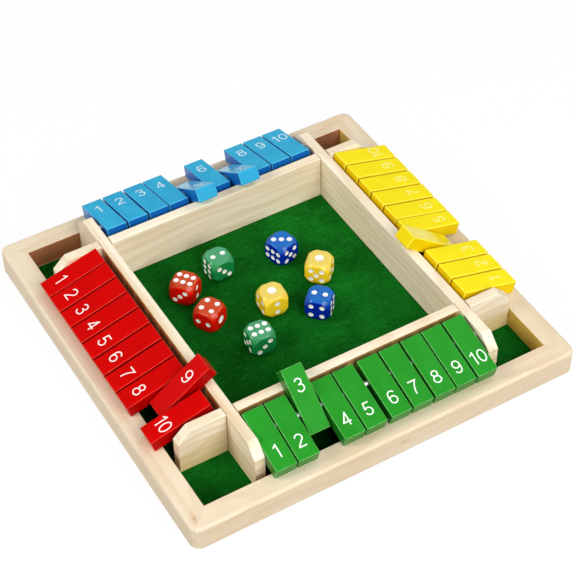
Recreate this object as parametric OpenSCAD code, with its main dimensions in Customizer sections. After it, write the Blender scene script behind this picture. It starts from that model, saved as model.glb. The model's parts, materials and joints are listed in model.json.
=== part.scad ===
// Four-player shut the box: a square wooden box with a felt floor, a dice tray
// in the middle and a row of ten numbered flip tiles on a rod along each side.
// Green faces the front (-Y), red the left (-X), blue the back and yellow the right.

/* [Frame] */
// Length of each side of the square frame
board_side = 290; // [286:1:300]
// Width of a frame rail
rail_w = 16; // [14:0.5:18]
// Height of a frame rail
rail_h = 18.4; // [17:0.1:20]
// Radius of the rails' outer top edge
rail_top_r = 2.5; // [1:0.5:3]
// Radius of the frame's four upright corners
corner_r = 7; // [4:0.5:9]
// Radius of the rails' inner top edge
rail_lip_r = 0.8; // [0.4:0.1:1.2]

/* [Floor] */
// Thickness of the base panel
base_t = 2; // [1.5:0.1:3]
// Width of the rebate in the rails that holds the base panel
rebate_w = 3; // [2:0.5:5]
// Thickness of the felt on the base panel
felt_t = 0.5; // [0.4:0.1:1]
// Bare strip of panel left between the felt and the back rail
felt_gap = 1.2; // [0.2:0.1:2]

/* [Tray] */
// Inner width of the square dice tray
tray_w = 169.6; // [169:0.2:171]
// How far the tray sits to the right of the frame's centre
tray_x = 3; // [1:0.1:3]
// How far the tray sits behind the frame's centre
tray_y = 3.7; // [3:0.1:4]
// Thickness of the tray walls and cheeks
wall_t = 7.4; // [6.5:0.1:8]
// Height of the walls' top edge above the table
wall_top = 38; // [36:0.2:40]
// Radius of the walls' top edges
wall_edge_r = 1; // [0.5:0.1:1.5]
// Length of the long walls, which run from front to back
long_wall_len = 251.8; // [248:0.1:253]
// Length of the two end cheeks at the left
left_cheek_len = 34.8; // [31:0.1:39]
// Length of the two end cheeks at the right
right_cheek_len = 33.6; // [31:0.1:33.8]
// How far the clipped corners reach along a wall
clip_run = 10; // [6:0.5:12]
// How far the clipped corners come down
clip_drop = 9.5; // [6:0.5:12]
// Shift of the front cheeks along the box, left and right
front_slip = [0.9, -1.3]; // [-2.4:0.1:1.4]
// Shift of the back cheeks along the box, left and right
back_slip = [0, -0.4]; // [-0.5:0.1:0.5]

/* [Rods] */
// Radius of the four pivot rods
rod_r = 2; // [1.8:0.05:2]
// Length of a pivot rod
rod_len = 176; // [175:0.5:177]
// Height of the rods above the table
rod_z = 31.1; // [30:0.1:32]
// Distance from a tray wall to the middle of its rod: green, red, blue, yellow
rod_out = [17.8, 18.2, 17.5, 16.7]; // [16.6:0.1:19]
// Radius of the blind holes that hold the rods
socket_r = 2.05; // [2.05:0.01:2.1]
// Depth of the blind holes
socket_depth = 4.5; // [4.4:0.1:6]

/* [Tiles] */
// Width of a tile along its rod
tile_w = 15.3; // [14:0.1:15.3]
// Length of a tile
tile_len = 45.2; // [42:0.1:47]
// Thickness of a tile
tile_t = 10; // [8:0.1:10.5]
// Radius of a tile's edges
tile_edge_r = 0.8; // [0.4:0.1:1.4]
// Distance from a tile's inner end to the middle of its bore
tile_pivot = 15; // [14:0.1:15.5]
// Radius of a tile's bore
tile_bore_r = 2.08; // [2.06:0.01:2.1]
// Spacing of the tiles along a rod
tile_pitch = 16.9; // [16.8:0.05:16.9]
// Green tile that is shut
green_shut = [3]; // [1:1:10]
// Red tile that is shut
red_shut = [9]; // [1:1:10]
// Blue tiles that are shut
blue_shut = [5, 7]; // [1:1:10]
// Yellow tile that is shut
yellow_shut = [4]; // [1:1:10]

/* [Dice] */
// Edge length of a die
die_edge = 18; // [14:0.5:18]
// Radius of a die's edges as a share of its edge length
die_soft = 0.13; // [0.1:0.01:0.15]
// Radius of the ball that trims a die's corners as a share of its edge length
die_ball = 0.68; // [0.67:0.005:0.75]
// Radius of a pip's rim
pip_r = 1.95; // [1.2:0.05:2]
// Radius of the single pip's rim
ace_r = 3.2; // [2:0.1:3.4]

/* [Hidden] */
$fn = 48;
// cutting tools reach this far past the solid that they cut
past = 1;
// air left between two pieces that rest on each other
rest_gap = 0.05;

half = board_side / 2;
inner = half - rail_w;
floor_z = base_t + felt_t;
wall_h = wall_top - floor_z;

// inner and outer faces of the tray walls
left_in = tray_x - tray_w / 2;
right_in = tray_x + tray_w / 2;
front_in = tray_y - tray_w / 2;
back_in = tray_y + tray_w / 2;
left_out = left_in - wall_t;
right_out = right_in + wall_t;
front_out = front_in - wall_t;
back_out = back_in + wall_t;
long_wall_back = inner - 0.2;

// mid-lines of the rods
green_y = front_out - rod_out[0];
blue_y = back_out + rod_out[2];
red_x = left_out - rod_out[1];
yellow_x = right_out + rod_out[3];
red_mid = (front_out + front_slip[0] + back_out + back_slip[0]) / 2;
yellow_mid = (front_out + front_slip[1] + back_out + back_slip[1]) / 2;

// the four rows: name, turn of the row about Z, shut tiles, colour
rows = ["green", "red", "blue", "yellow"];
row_turn = [180, 90, 0, -90];
row_shut = [green_shut, red_shut, blue_shut, yellow_shut];
row_tint = ["forestgreen", "red", "deepskyblue", "gold"];

// where each tile has slid to within its play on the rod
play = [
    [-0.8, -1.4, -1.1, -1.3, -1.8, 0.0, -0.2, -0.2, -0.8, -1.0],
    [0.9, 1.6, 1.9, 2.3, 2.5, 2.7, 2.7, 3.0, 3.8, 3.5],
    [1.3, 0.9, 0.6, -0.4, -0.4, -0.4, 0.0, -0.6, -1.3, -1.9],
    [1.0, 0.7, 0.4, 1.0, 1.4, 0.6, 0.5, 0.2, 0.2, -0.1],
];

// how the dice have landed: name, colour, place on the felt, number on top, turn about Z
throw = [
    ["red_die_a", "crimson", [-47.8, 47.1], 6, -51.8],
    ["red_die_b", "crimson", [-45.4, 16], 4, -149.7],
    ["green_die_a", "seagreen", [-16.8, 56], 2, -178.2],
    ["green_die_b", "seagreen", [-27, -20.3], 6, -4.5],
    ["blue_die_a", "mediumblue", [29.5, 46.5], 3, 105.1],
    ["blue_die_b", "mediumblue", [25, -13.1], 2, -46.2],
    ["yellow_die_a", "gold", [42.7, 16.6], 1, 44.5],
    ["yellow_die_b", "gold", [-1.7, 6.5], 1, -94.3],
];

function tile_name(row, n) = str(rows[row], "_tile_", n < 10 ? "0" : "", n);
function is_shut(row, n) = len([for (k = row_shut[row]) if (k == n) k]) > 0;

// slope of an open tile, whose outer end rests on the flat top of its rail
open_angle =
    let (
        run = tile_len - tile_pivot - tile_edge_r,
        drop = tile_t / 2 - tile_edge_r,
        rise = rod_z - rail_h - tile_edge_r - rest_gap
    )
    asin(rise / norm([run, drop])) - atan2(drop, run);

// slope of a shut tile, which leans back on the tray wall's top edge
function shut_angle(row) =
    let (
        run = rod_out[row] + wall_edge_r,
        rise = wall_top - wall_edge_r - rod_z,
        reach = tile_t / 2 + wall_edge_r + rest_gap
    )
    atan2(rise, run) + asin(reach / norm([run, rise]));

function tile_tilt(row, n) = is_shut(row, n) ? 180 - shut_angle(row) : -open_angle;

// number 1 is at its own player's left, and on blue at the right
function tile_spot(row, n) =
    let (step = (n - 5.5) * tile_pitch, slid = play[row][n - 1])
    row == 0 ? [tray_x + step + slid, green_y]
    : row == 1 ? [red_x, tray_y - step + slid]
    : row == 2 ? [tray_x + step + slid, blue_y]
    : [yellow_x, tray_y + step + slid];

// how a die is turned to bring each number up; with 1 up, 2 faces right and 3 the back
function turn_up(n) =
    n == 1 ? [0, 0, 0]
    : n == 2 ? [0, -90, 0]
    : n == 3 ? [90, 0, 0]
    : n == 4 ? [-90, 0, 0]
    : n == 5 ? [0, 90, 0]
    : [180, 0, 0];

// ---- profiles ----

// rectangle with four rounded corners
module rounded_rect(w, h, r) {
    square([w, h - 2 * r], center = true);
    square([w - 2 * r, h], center = true);
    for (x = [-1, 1], y = [-1, 1])
        translate([x * (w / 2 - r), y * (h / 2 - r)]) circle(r);
}

// block with every edge rounded
module rounded_block(size, r) {
    intersection() {
        linear_extrude(size[2], center = true) rounded_rect(size[0], size[1], r);
        rotate([90, 0, 0]) linear_extrude(size[1], center = true)
            rounded_rect(size[0], size[2], r);
        rotate([90, 0, 90]) linear_extrude(size[0], center = true)
            rounded_rect(size[1], size[2], r);
    }
}

// a rail cut across: outer face at 0, inner face at rail_w
module rail_section() {
    difference() {
        union() {
            square([rail_w, rail_h - rail_top_r]);
            translate([rail_top_r, 0])
                square([rail_w - rail_top_r - rail_lip_r, rail_h]);
            translate([rail_top_r, rail_h - rail_top_r]) circle(rail_top_r);
            translate([rail_w - rail_top_r, 0])
                square([rail_top_r, rail_h - rail_lip_r]);
            translate([rail_w - rail_lip_r, rail_h - rail_lip_r]) circle(rail_lip_r);
        }
        translate([rail_w - rebate_w, -past]) square([rebate_w + past, base_t + past]);
    }
}

// half of a corner's outline, to be turned about the corner's upright axis
module corner_section() {
    square([corner_r, rail_h - rail_top_r]);
    square([corner_r - rail_top_r, rail_h]);
    translate([corner_r - rail_top_r, rail_h - rail_top_r]) intersection() {
        circle(rail_top_r);
        square(rail_top_r + past);
    }
}

// a wall cut across, with its two top edges rounded, centred on its thickness
module wall_section() {
    translate([-wall_t / 2, 0]) square([wall_t, wall_h - wall_edge_r]);
    translate([wall_edge_r - wall_t / 2, 0]) square([wall_t - 2 * wall_edge_r, wall_h]);
    for (side = [-1, 1])
        translate([side * (wall_t / 2 - wall_edge_r), wall_h - wall_edge_r])
            circle(wall_edge_r);
}

// ---- frame and floor ----

// the front rail, mitred at 45 degrees at both ends
module rail() {
    color("burlywood") intersection() {
        union() {
            translate([half - corner_r, -half, 0]) rotate([90, 0, -90])
                linear_extrude(2 * (half - corner_r)) mirror([1, 0]) rail_section();
            translate([corner_r - half, corner_r - half, 0]) rotate([0, 0, 180])
                rotate_extrude(angle = 90) corner_section();
            translate([half - corner_r, corner_r - half, 0]) rotate([0, 0, 270])
                rotate_extrude(angle = 90) corner_section();
        }
        translate([0, 0, -past]) linear_extrude(rail_h + 2 * past)
            polygon([
                [-half - past, -half - past],
                [half + past, -half - past],
                [inner - past, past - inner],
                [past - inner, past - inner],
            ]);
    }
}

module rail_front() {
    rail();
}

module rail_right() {
    rotate([0, 0, 90]) rail();
}

module rail_back() {
    rotate([0, 0, 180]) rail();
}

module rail_left() {
    rotate([0, 0, -90]) rail();
}

// panel let into the rebates of the rails
module base_panel() {
    side = 2 * (inner + rebate_w);
    color("tan") translate([-side / 2, -side / 2, 0]) cube([side, side, base_t]);
}

// green felt glued to the panel; the tray walls stand on it
module felt_sheet() {
    color("darkgreen") translate([-inner, -inner, base_t])
        cube([2 * inner, 2 * inner - felt_gap, felt_t]);
}

// ---- tray ----

// wall along X from the origin, standing on the felt, with its ends clipped as asked
module wall(len, clip_start, clip_end) {
    intersection() {
        rotate([90, 0, 0]) linear_extrude(2 * wall_t, center = true) difference() {
            square([len, wall_h]);
            for (end = [[0, 1, clip_start], [len, -1, clip_end]])
                if (end[2])
                    translate([end[0], wall_h])
                        polygon([
                            [2 * end[1] * clip_run, clip_drop],
                            [-end[1] * clip_run, clip_drop],
                            [-end[1] * clip_run, -2 * clip_drop],
                        ]);
        }
        rotate([90, 0, 90]) linear_extrude(len) wall_section();
    }
}

// blind hole for a rod end, drilled along +X from the origin
module socket() {
    rotate([0, 90, 0]) translate([0, 0, -past])
        cylinder(r = socket_r, h = socket_depth + past);
}

module long_wall(x_mid, drill_x, drill_turn) {
    color("wheat") difference() {
        translate([x_mid, long_wall_back - long_wall_len, floor_z]) rotate([0, 0, 90])
            wall(long_wall_len, true, true);
        for (y = [green_y, blue_y])
            translate([drill_x, y, rod_z]) rotate([0, 0, drill_turn]) socket();
    }
}

module left_long_wall() {
    long_wall(left_in - wall_t / 2, left_in, 180);
}

module right_long_wall() {
    long_wall(right_in + wall_t / 2, right_in, 0);
}

module short_wall(y_mid) {
    color("wheat") translate([left_in, y_mid, floor_z]) wall(tray_w, false, false);
}

module front_short_wall() {
    short_wall(front_in - wall_t / 2);
}

module back_short_wall() {
    short_wall(back_in + wall_t / 2);
}

// cheek from a long wall out to the side rail, drilled for a rod end
module cheek(x_start, out, len, y_mid, rod_x, drill_turn) {
    color("wheat") difference() {
        translate([x_start, y_mid, floor_z]) rotate([0, 0, out > 0 ? 0 : 180])
            wall(len, false, true);
        translate([rod_x, y_mid + (drill_turn > 0 ? -1 : 1) * wall_t / 2, rod_z])
            rotate([0, 0, drill_turn]) socket();
    }
}

module end_cheeks() {
    front_left = front_out + front_slip[0] + wall_t / 2;
    front_right = front_out + front_slip[1] + wall_t / 2;
    back_left = back_out + back_slip[0] - wall_t / 2;
    back_right = back_out + back_slip[1] - wall_t / 2;
    cheek(left_out, -1, left_cheek_len, front_left, red_x, -90);
    cheek(right_out, 1, right_cheek_len, front_right, yellow_x, -90);
    cheek(left_out, -1, left_cheek_len, back_left, red_x, 90);
    cheek(right_out, 1, right_cheek_len, back_right, yellow_x, 90);
}

// ---- rods ----

module rod() {
    color("silver") cylinder(r = rod_r, h = rod_len, center = true);
}

module pivot_rods() {
    for (y = [green_y, blue_y])
        translate([tray_x, y, rod_z]) rotate([0, 90, 0]) rod();
    translate([red_x, red_mid, rod_z]) rotate([90, 0, 0]) rod();
    translate([yellow_x, yellow_mid, rod_z]) rotate([90, 0, 0]) rod();
}

// ---- tiles ----

// tile with its bore at the origin, lying flat and pointing out along +Y
module flip_tile(tint) {
    color(tint) difference() {
        translate([0, tile_len / 2 - tile_pivot, 0])
            rounded_block([tile_w, tile_len, tile_t], tile_edge_r);
        rotate([0, 90, 0])
            cylinder(r = tile_bore_r, h = tile_w + 2 * past, center = true);
    }
}

module row_tile(row, n) {
    spot = tile_spot(row, n);
    translate([spot[0], spot[1], rod_z]) rotate([0, 0, row_turn[row]])
        rotate([tile_tilt(row, n), 0, 0]) flip_tile(row_tint[row]);
}

// ---- dice ----

// hollows for the pips of one face, which looks along +Z
module pips(n) {
    near = die_edge * 0.218;
    far = die_edge * 0.286;
    slim = die_edge * 0.17;
    spots =
        n == 1 ? [[0, 0]]
        : n == 2 ? [[-near, 0], [near, 0]]
        : n == 3 ? [[near, near], [0, 0], [-near, -near]]
        : n == 4 ? [for (x = [-near, near], y = [-near, near]) [x, y]]
        : n == 5 ? concat([[0, 0]], [for (x = [-near, near], y = [-near, near]) [x, y]])
        : [for (x = [-far, 0, far], y = [-slim, slim]) [x, y]];
    rim = n == 1 ? ace_r : pip_r;
    depth = rim * 0.25;
    ball = (rim * rim + depth * depth) / (2 * depth);
    for (spot = spots)
        translate([spot[0], spot[1], die_edge / 2 - depth + ball]) sphere(ball);
}

// die with 1 on top, 2 to the right, 3 at the back; opposite faces add up to 7
module die_body() {
    difference() {
        intersection() {
            rounded_block([die_edge, die_edge, die_edge], die_edge * die_soft);
            sphere(die_edge * die_ball);
        }
        pips(1);
        rotate([0, 90, 0]) pips(2);
        rotate([-90, 0, 0]) pips(3);
        rotate([90, 0, 0]) pips(4);
        rotate([0, -90, 0]) pips(5);
        rotate([180, 0, 0]) pips(6);
    }
}

module thrown_die(die) {
    translate([die[2][0], die[2][1], floor_z + rest_gap + die_edge / 2])
        rotate([0, 0, die[4]]) rotate(turn_up(die[3])) color(die[1]) die_body();
}

base_panel();
felt_sheet();
rail_front();
rail_right();
rail_back();
rail_left();
left_long_wall();
right_long_wall();
front_short_wall();
back_short_wall();
end_cheeks();
pivot_rods();
for (row = [0:3], n = [1:10])
    row_tile(row, n);
for (die = throw)
    thrown_die(die);
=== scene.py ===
"""Four-player shut the box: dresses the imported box, its flip tiles and its dice."""

from __future__ import annotations

import json
import logging
import math
from dataclasses import dataclass
from enum import Enum
from typing import Any, NamedTuple

import bmesh
import bpy
from mathutils import Matrix, Vector, geometry

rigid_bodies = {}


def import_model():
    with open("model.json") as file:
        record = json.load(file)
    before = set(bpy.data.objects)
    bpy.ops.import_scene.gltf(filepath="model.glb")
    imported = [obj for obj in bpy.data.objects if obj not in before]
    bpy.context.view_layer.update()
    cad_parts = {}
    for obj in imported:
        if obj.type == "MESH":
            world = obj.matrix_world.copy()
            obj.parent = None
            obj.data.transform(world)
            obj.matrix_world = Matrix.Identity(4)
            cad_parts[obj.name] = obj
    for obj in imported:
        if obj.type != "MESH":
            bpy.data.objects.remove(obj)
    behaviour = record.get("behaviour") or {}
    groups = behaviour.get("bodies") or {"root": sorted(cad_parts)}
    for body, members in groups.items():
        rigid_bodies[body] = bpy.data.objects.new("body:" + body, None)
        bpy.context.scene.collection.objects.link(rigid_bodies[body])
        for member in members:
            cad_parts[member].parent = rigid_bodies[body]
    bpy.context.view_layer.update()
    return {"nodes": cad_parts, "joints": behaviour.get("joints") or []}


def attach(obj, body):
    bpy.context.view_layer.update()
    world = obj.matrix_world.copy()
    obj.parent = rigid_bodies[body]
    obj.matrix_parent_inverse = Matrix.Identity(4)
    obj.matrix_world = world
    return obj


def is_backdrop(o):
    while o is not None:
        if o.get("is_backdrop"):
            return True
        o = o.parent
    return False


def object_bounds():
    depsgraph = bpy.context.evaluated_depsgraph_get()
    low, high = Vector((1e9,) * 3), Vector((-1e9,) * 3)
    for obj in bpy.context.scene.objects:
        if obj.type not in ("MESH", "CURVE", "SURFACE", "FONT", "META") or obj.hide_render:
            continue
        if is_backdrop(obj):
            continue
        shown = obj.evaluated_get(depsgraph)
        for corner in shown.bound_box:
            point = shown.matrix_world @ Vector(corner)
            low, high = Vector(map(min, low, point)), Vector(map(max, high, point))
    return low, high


log = logging.getLogger("shut_the_box")
MM = 0.001

Colour = tuple[float, float, float]
Point = tuple[float, float]
Place = tuple[float, float, float]


class Row(Enum):
    """The four rows of flip tiles, named by their paint."""

    GREEN = "green"
    RED = "red"
    BLUE = "blue"
    YELLOW = "yellow"


class Grain(Enum):
    """Which way the grain of a board runs."""

    ACROSS = "x"
    FRONT_TO_BACK = "y"


def srgb(red: int, green: int, blue: int) -> Colour:
    """Turns a colour written as 0 to 255 into linear light.

    Args:
        red: Red of the written colour.
        green: Green of the written colour.
        blue: Blue of the written colour.

    Returns:
        The same colour in linear light.
    """

    def channel(value: int) -> float:
        """Returns one channel in linear light."""
        share = value / 255
        return share / 12.92 if share <= 0.04045 else ((share + 0.055) / 1.055) ** 2.4

    return channel(red), channel(green), channel(blue)


def scaled(colour: Colour, factor: float) -> Colour:
    """Returns a paler or darker colour, with no channel above 1."""
    red, green, blue = (min(1.0, channel * factor) for channel in colour)
    return red, green, blue


# ---- shader tools ----


class Value:
    """A node's output that can be used in Python sums."""

    def __init__(self, graph: "Graph", socket: bpy.types.NodeSocket) -> None:
        """Keeps the output and the graph it belongs to."""
        self.graph = graph
        self.socket = socket

    def other(self, name: str) -> "Value":
        """Returns another output of the same node."""
        return Value(self.graph, self.socket.node.outputs[name])

    def __add__(self, term: Any) -> "Value":
        """Adds a number or a value."""
        return self.graph.math("ADD", self, term)

    def __sub__(self, term: Any) -> "Value":
        """Takes away a number or a value."""
        return self.graph.math("SUBTRACT", self, term)

    def __rsub__(self, term: Any) -> "Value":
        """Is taken away from a number."""
        return self.graph.math("SUBTRACT", term, self)

    def __mul__(self, term: Any) -> "Value":
        """Multiplies by a number or a value."""
        return self.graph.math("MULTIPLY", self, term)

    def __pow__(self, term: Any) -> "Value":
        """Raises to a power."""
        return self.graph.math("POWER", self, term)

    def __abs__(self) -> "Value":
        """Returns the size without the sign."""
        return self.graph.math("ABSOLUTE", self)

    __radd__ = __add__
    __rmul__ = __mul__


class Graph:
    """The node tree of one material or of the world."""

    def __init__(self, tree: bpy.types.NodeTree) -> None:
        """Empties the tree that is to be filled."""
        self.tree = tree
        tree.nodes.clear()

    def node(self, kind: str, settings: dict | None = None, inputs: dict | None = None) -> Value:
        """Adds a node.

        Args:
            kind: Blender's name of the node type.
            settings: Properties, which are set first.
            inputs: Values or links by the socket's name or number.

        Returns:
            The node's first output that is in use.
        """
        made = self.tree.nodes.new(kind)
        for name, value in (settings or {}).items():
            setattr(made, name, value)
        for name, value in (inputs or {}).items():
            socket = made.inputs[name]
            if isinstance(value, Value):
                self.tree.links.new(value.socket, socket)
            elif isinstance(value, tuple) and socket.type == "RGBA":
                socket.default_value = (*value, 1)
            else:
                socket.default_value = value
        outputs = [output for output in made.outputs if output.enabled]
        return Value(self, outputs[0]) if outputs else Value(self, None)

    def math(self, operation: str, *terms: Any) -> Value:
        """Adds a Math node on its terms."""
        return self.node("ShaderNodeMath", {"operation": operation}, dict(enumerate(terms)))

    def band(self, value: Any, low: float, high: float) -> Value:
        """Rises smoothly from 0 to 1 while the value goes from low to high.

        Args:
            value: What is measured.
            low: Where the result is 0.
            high: Where the result is 1.

        Returns:
            The mask.
        """
        settings = {"interpolation_type": "SMOOTHSTEP", "clamp": True}
        inputs = {"Value": value, "From Min": low, "From Max": high, "To Min": 0.0, "To Max": 1.0}
        return self.node("ShaderNodeMapRange", settings, inputs)

    def mix(self, share: Any, first: Any, second: Any) -> Value:
        """Mixes two colours.

        Args:
            share: How much of the second colour shows.
            first: Colour under it.
            second: Colour laid on.

        Returns:
            The mixed colour.
        """
        settings = {"data_type": "RGBA", "blend_type": "MIX", "clamp_factor": True}
        made = self.node("ShaderNodeMix", settings, {0: share, 6: first, 7: second})
        return Value(self, made.socket.node.outputs[2])

    def place(self, turn: Vector | None = None) -> tuple[Value, Value]:
        """Reads where a point is on its piece, in millimetres, and how it faces.

        Args:
            turn: Angles that bring the piece's own axes to X, Y and Z.

        Returns:
            The place and the surface direction, both in the turned axes.
        """
        coord = self.node("ShaderNodeTexCoord")
        angles = tuple(turn or (0.0, 0.0, 0.0))
        scale = (1 / MM,) * 3
        spot = self.node(
            "ShaderNodeMapping",
            {"vector_type": "POINT"},
            {"Vector": coord.other("Object"), "Rotation": angles, "Scale": scale},
        )
        facing = self.node(
            "ShaderNodeMapping",
            {"vector_type": "VECTOR"},
            {"Vector": coord.other("Normal"), "Rotation": angles},
        )
        return spot, facing

    def noise(
        self,
        spot: Value,
        scale: Place,
        shift: Place = (0.0, 0.0, 0.0),
        detail: float = 2.0,
        rough: float = 0.5,
        twist: float = 0.0,
    ) -> Value:
        """Adds soft noise that may be drawn out one way.

        Args:
            spot: Place, in millimetres.
            scale: Features in a millimetre along each axis.
            shift: How far the pattern is moved along each axis, in features.
            detail: How many finer layers it has.
            rough: How strong the finer layers are.
            twist: How far the pattern is distorted.

        Returns:
            The noise, from 0 to 1.
        """
        stretch = {"Vector": spot, "Scale": scale, "Location": shift}
        vector = self.node("ShaderNodeMapping", {"vector_type": "POINT"}, stretch)
        inputs = {"Vector": vector, "Scale": 1.0, "Detail": detail, "Roughness": rough, "Distortion": twist}
        return self.node("ShaderNodeTexNoise", {}, inputs)

    def split(self, vector: Value) -> tuple[Value, Value, Value]:
        """Returns the three parts of a vector."""
        made = self.node("ShaderNodeSeparateXYZ", {}, {0: vector})
        return made.other("X"), made.other("Y"), made.other("Z")

    def rounding(self, facing: Value, middle: float = 0.9, flat: float = 0.995) -> Value:
        """Finds rounded edges, which face between the main directions.

        Args:
            facing: Surface direction in the piece's own axes.
            middle: Greatest part of the direction up to which the mask is 1.
            flat: Greatest part of the direction from which the mask is 0.

        Returns:
            A mask that is 1 on a rounded edge and 0 on a flat.
        """
        x, y, z = (abs(part) for part in self.split(facing))
        most = self.math("MAXIMUM", self.math("MAXIMUM", x, y), z)
        return 1 - self.band(most, middle, flat)


def new_material(name: str) -> tuple[bpy.types.Material, Graph]:
    """Starts a node material.

    Args:
        name: Name of the finish.

    Returns:
        The material and its empty graph.
    """
    material = bpy.data.materials.new(name)
    material.use_nodes = True
    return material, Graph(material.node_tree)


def close_material(graph: Graph, height: Value, depth: float, inputs: dict) -> None:
    """Ends a graph in one surface shader with bump.

    Args:
        graph: Graph to be ended.
        height: Height pattern of the bump.
        depth: How deep the pattern is, in millimetres.
        inputs: The shader's other inputs.
    """
    settings = {"Strength": 1.0, "Distance": depth * MM, "Height": height}
    bump = graph.node("ShaderNodeBump", {}, settings)
    shader = graph.node("ShaderNodeBsdfPrincipled", {}, {**inputs, "Normal": bump})
    graph.node("ShaderNodeOutputMaterial", {}, {"Surface": shader})


def dress(obj: bpy.types.Object, material: bpy.types.Material) -> None:
    """Puts one material on the whole of an object."""
    obj.data.materials.clear()
    obj.data.materials.append(material)


# ---- finishes ----


class WoodFigure(NamedTuple):
    """What the figure of the wood gives to its colour and to its surface."""

    colour: Value
    late: Value
    fibre: Value
    pores: Value


@dataclass(frozen=True)
class LacqueredWood:
    """Pale pine under clear satin lacquer, for boards that are sawn along the grain.

    Places on a board are in millimetres along its grain, across it and up. Across a board that
    runs from front to back is towards the left of the box.
    """

    name: str
    grain: Grain
    pale: Colour
    warm: Colour
    streak: Colour
    figure: float = 0.5
    mitred: bool = False
    # painted shade: one long side face, given by its place across the board, is painted dim over a run
    # either side of the middle, in this colour
    shade_face: float | None = None
    dim_run: float = 200.0
    dim: Colour = srgb(184, 124, 6)
    # painted shade: how much the side faces are painted darker towards the floor, in what colour, and up to
    # what height
    foot_shade: float = 0.0
    foot_shade_colour: Colour = srgb(206, 180, 110)
    foot_shade_top: float = 28.0
    joints: tuple[float, ...] = ()
    knots: tuple[Place, ...] = ()
    seed: float = 0.0
    heart_depth: float = 46.0
    heart_drift: float = 70.0
    rings_per_mm: float = 0.13
    relief: float = 0.09

    def build(self) -> bpy.types.Material:
        """Makes the material.

        Returns:
            The wood, with year rings, fibres, pores, end grain and joint lines.
        """
        material, graph = new_material(self.name)
        turn = Vector((0, 0, 0 if self.grain is Grain.ACROSS else -math.pi / 2))
        spot, facing = graph.place(turn)
        along, across, _ = graph.split(facing)
        wood = self._figure(graph, spot)
        end = graph.band(abs(along), 0.55, 0.95)
        cut = self._noise(graph, spot, 0.9, 2.4, 3.0, 0.65)
        colour = graph.mix(end * (0.12 + 0.3 * graph.band(cut, 0.4, 0.75)), wood.colour, self.streak)
        rubbed = graph.rounding(facing) * graph.band(self._noise(graph, spot, 0.07, 0.2), 0.3, 0.7)
        colour = graph.mix(rubbed * 0.45, colour, scaled(self.pale, 1.12))
        colour = self._sides(graph, colour, spot, graph.band(abs(across), 0.6, 0.9))

        seam = self._seams(graph, spot)
        brown = scaled(self.streak, 0.45)
        colour = graph.mix(seam, colour, brown)
        for knot in self.knots:
            colour = self._knot(graph, colour, spot, knot, brown)

        inputs = {
            "Base Color": colour,
            "Roughness": 0.42 + 0.16 * wood.fibre - 0.08 * wood.late + 0.12 * wood.pores,
            "Specular IOR Level": 0.18,
            "Coat Weight": 0.03,
            "Coat Roughness": 0.25,
        }
        raised = wood.fibre * 0.5 + wood.late * 0.5 + cut * end * 0.8
        close_material(graph, raised - wood.pores * 0.6 - seam * 2, self.relief, inputs)
        return material

    def _noise(
        self,
        graph: Graph,
        spot: Value,
        along: float,
        across: float,
        detail: float = 2.0,
        rough: float = 0.5,
        twist: float = 0.0,
    ) -> Value:
        """Adds noise that is drawn out along the grain.

        Args:
            graph: Graph of the material.
            spot: Place on the board, grain along X.
            along: Features in a millimetre along the grain.
            across: Features in a millimetre across it.
            detail: How many finer layers it has.
            rough: How strong the finer layers are.
            twist: How far the pattern is distorted.

        Returns:
            The noise, from 0 to 1, which differs from board to board.
        """
        shift = (self.seed * 1.7, self.seed * 3.1, self.seed * 2.3)
        return graph.noise(spot, (along, across, across), shift, detail, rough, twist)

    def _figure(self, graph: Graph, spot: Value) -> WoodFigure:
        """Draws the year rings, streaks, fibres and pores.

        Args:
            graph: Graph of the material.
            spot: Place on the board, grain along X.

        Returns:
            The colour of the wood and the masks that shape its surface.
        """
        _, y, z = graph.split(spot)
        drift = self._noise(graph, spot, 0.0045, 0.012)
        wave = self._noise(graph, spot, 0.013, 0.07)
        depth = (z + self.heart_depth + drift * self.heart_drift) ** 2 + (y * 0.55 + self.seed) ** 2
        rings = graph.math("FRACT", (depth**0.5 + wave * 9) * self.rings_per_mm)
        late = graph.band(rings, 0.25, 0.85) * (1 - graph.band(rings, 0.85, 1.0))
        fibre = self._noise(graph, spot, 0.035, 1.9, 4.0, 0.6)
        thread = self._noise(graph, spot, 0.05, 4.6)
        stripe = graph.band(self._noise(graph, spot, 0.0045, 0.15, 3.0, 0.55, 0.3), 0.5, 0.72)
        cloud = graph.band(self._noise(graph, spot, 0.012, 0.03), 0.3, 0.72)
        pores = graph.band(self._noise(graph, spot, 0.16, 2.6, 1.0), 0.73, 0.8)

        colour = graph.mix(cloud * 0.6, self.pale, self.warm)
        streaks = (
            late * (0.08 + self.figure * 0.42),
            stripe * (0.12 + self.figure * 0.55),
            graph.band(fibre, 0.5, 0.78) * 0.3,
            graph.band(thread, 0.6, 0.8) * 0.18,
        )
        for share in streaks:
            colour = graph.mix(share, colour, self.streak)
        return WoodFigure(graph.mix(pores * 0.35, colour, scaled(self.streak, 0.45)), late, fibre, pores)

    def _sides(self, graph: Graph, colour: Value, spot: Value, side: Value) -> Value:
        """Paints shade on the long side faces: they are painted darker, and tinted with the colours bounced
        onto them from the parts around them.

        Args:
            graph: Graph of the material.
            colour: Colour of the wood so far.
            spot: Place on the board, grain along X.
            side: Mask of the long side faces.

        Returns:
            The colour with its painted shade.
        """
        x, y, z = graph.split(spot)
        if self.shade_face is not None:
            # painted shade: every long side face is darkened a little towards the warm tone
            colour = graph.mix(side * 0.25, colour, self.warm)
            # painted shade: the chosen side face is painted dim brown over its run
            side = side * (1 - graph.band(abs(y - self.shade_face), 0.3, 0.9))
            within = 1 - graph.band(abs(x), self.dim_run - 6, self.dim_run)
            colour = graph.mix(side * within * 0.8, colour, self.dim)
        # painted shade: the side faces are painted darker towards the floor
        if self.foot_shade:
            low = 1 - graph.band(z, 4.0, self.foot_shade_top)
            colour = graph.mix(side * low * self.foot_shade, colour, self.foot_shade_colour)
        return colour

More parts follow.
